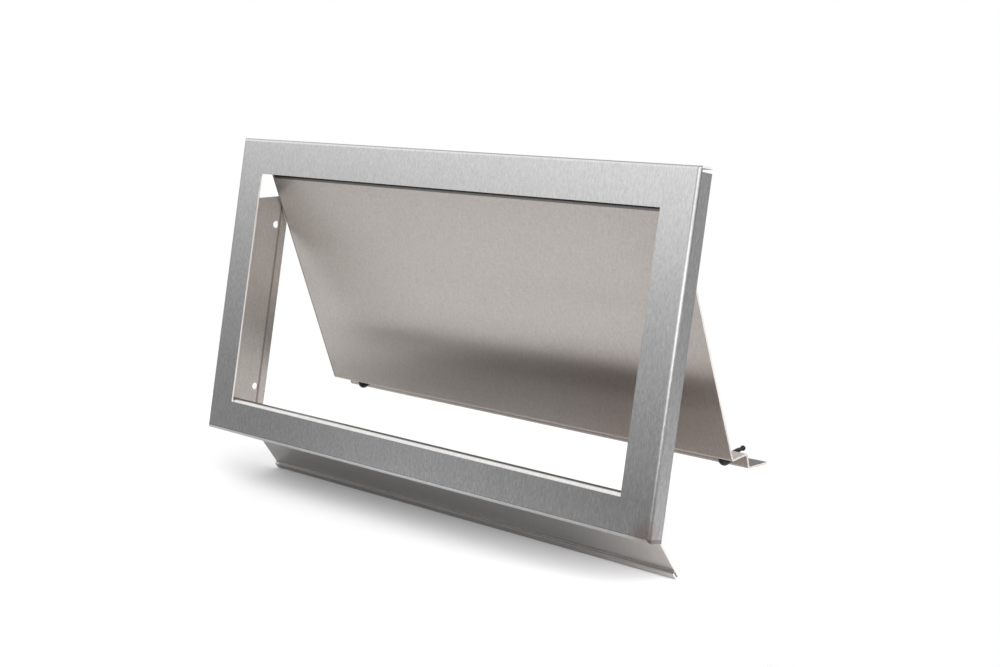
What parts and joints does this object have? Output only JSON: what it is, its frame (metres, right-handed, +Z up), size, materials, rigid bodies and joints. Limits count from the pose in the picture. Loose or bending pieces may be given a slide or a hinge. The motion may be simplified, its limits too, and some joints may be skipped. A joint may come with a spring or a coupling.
{
  "type": "waste chute",
  "caption": "Stainless waste chute for an outdoor kitchen front: a folded frame with a sloping slide below its opening and a hinged flap behind it with rubber stops.",
  "frame": {"origin": "middle of the lower rim of the front frame, in the plane where all four rims seat on the cabinet panel", "axes": "+X to the right across the front as seen from the front, +Y back into the cabinet, +Z up"},
  "size_m": [0.5, 0.1535, 0.2801],
  "materials": {
    "brushed_frame": "brushed, upright grain",
    "satin_sheet": "satin, fine upright grain",
    "hinge_steel": "plain drawn, dull and dark",
    "bumper_rubber": "smooth black"
  },
  "bodies": {
    "frame": {"front_frame": "brushed_frame", "chute_slide": "satin_sheet", "left_side_bracket": "satin_sheet", "right_side_bracket": "satin_sheet", "hinge_frame_leaf": "hinge_steel", "hinge_pin": "hinge_steel"},
    "flap": {"flap_panel": "satin_sheet", "hinge_flap_leaf": "hinge_steel", "left_bumper": "bumper_rubber", "right_bumper": "bumper_rubber"}
  },
  "joints": [
    {"name": "flap_hinge", "type": "hinge", "parent": "frame", "child": "flap", "pos_m": [0, -0.00835, 0.23225], "axis": [1, 0, 0], "range_deg": [-27.7, 50]}
  ]
}
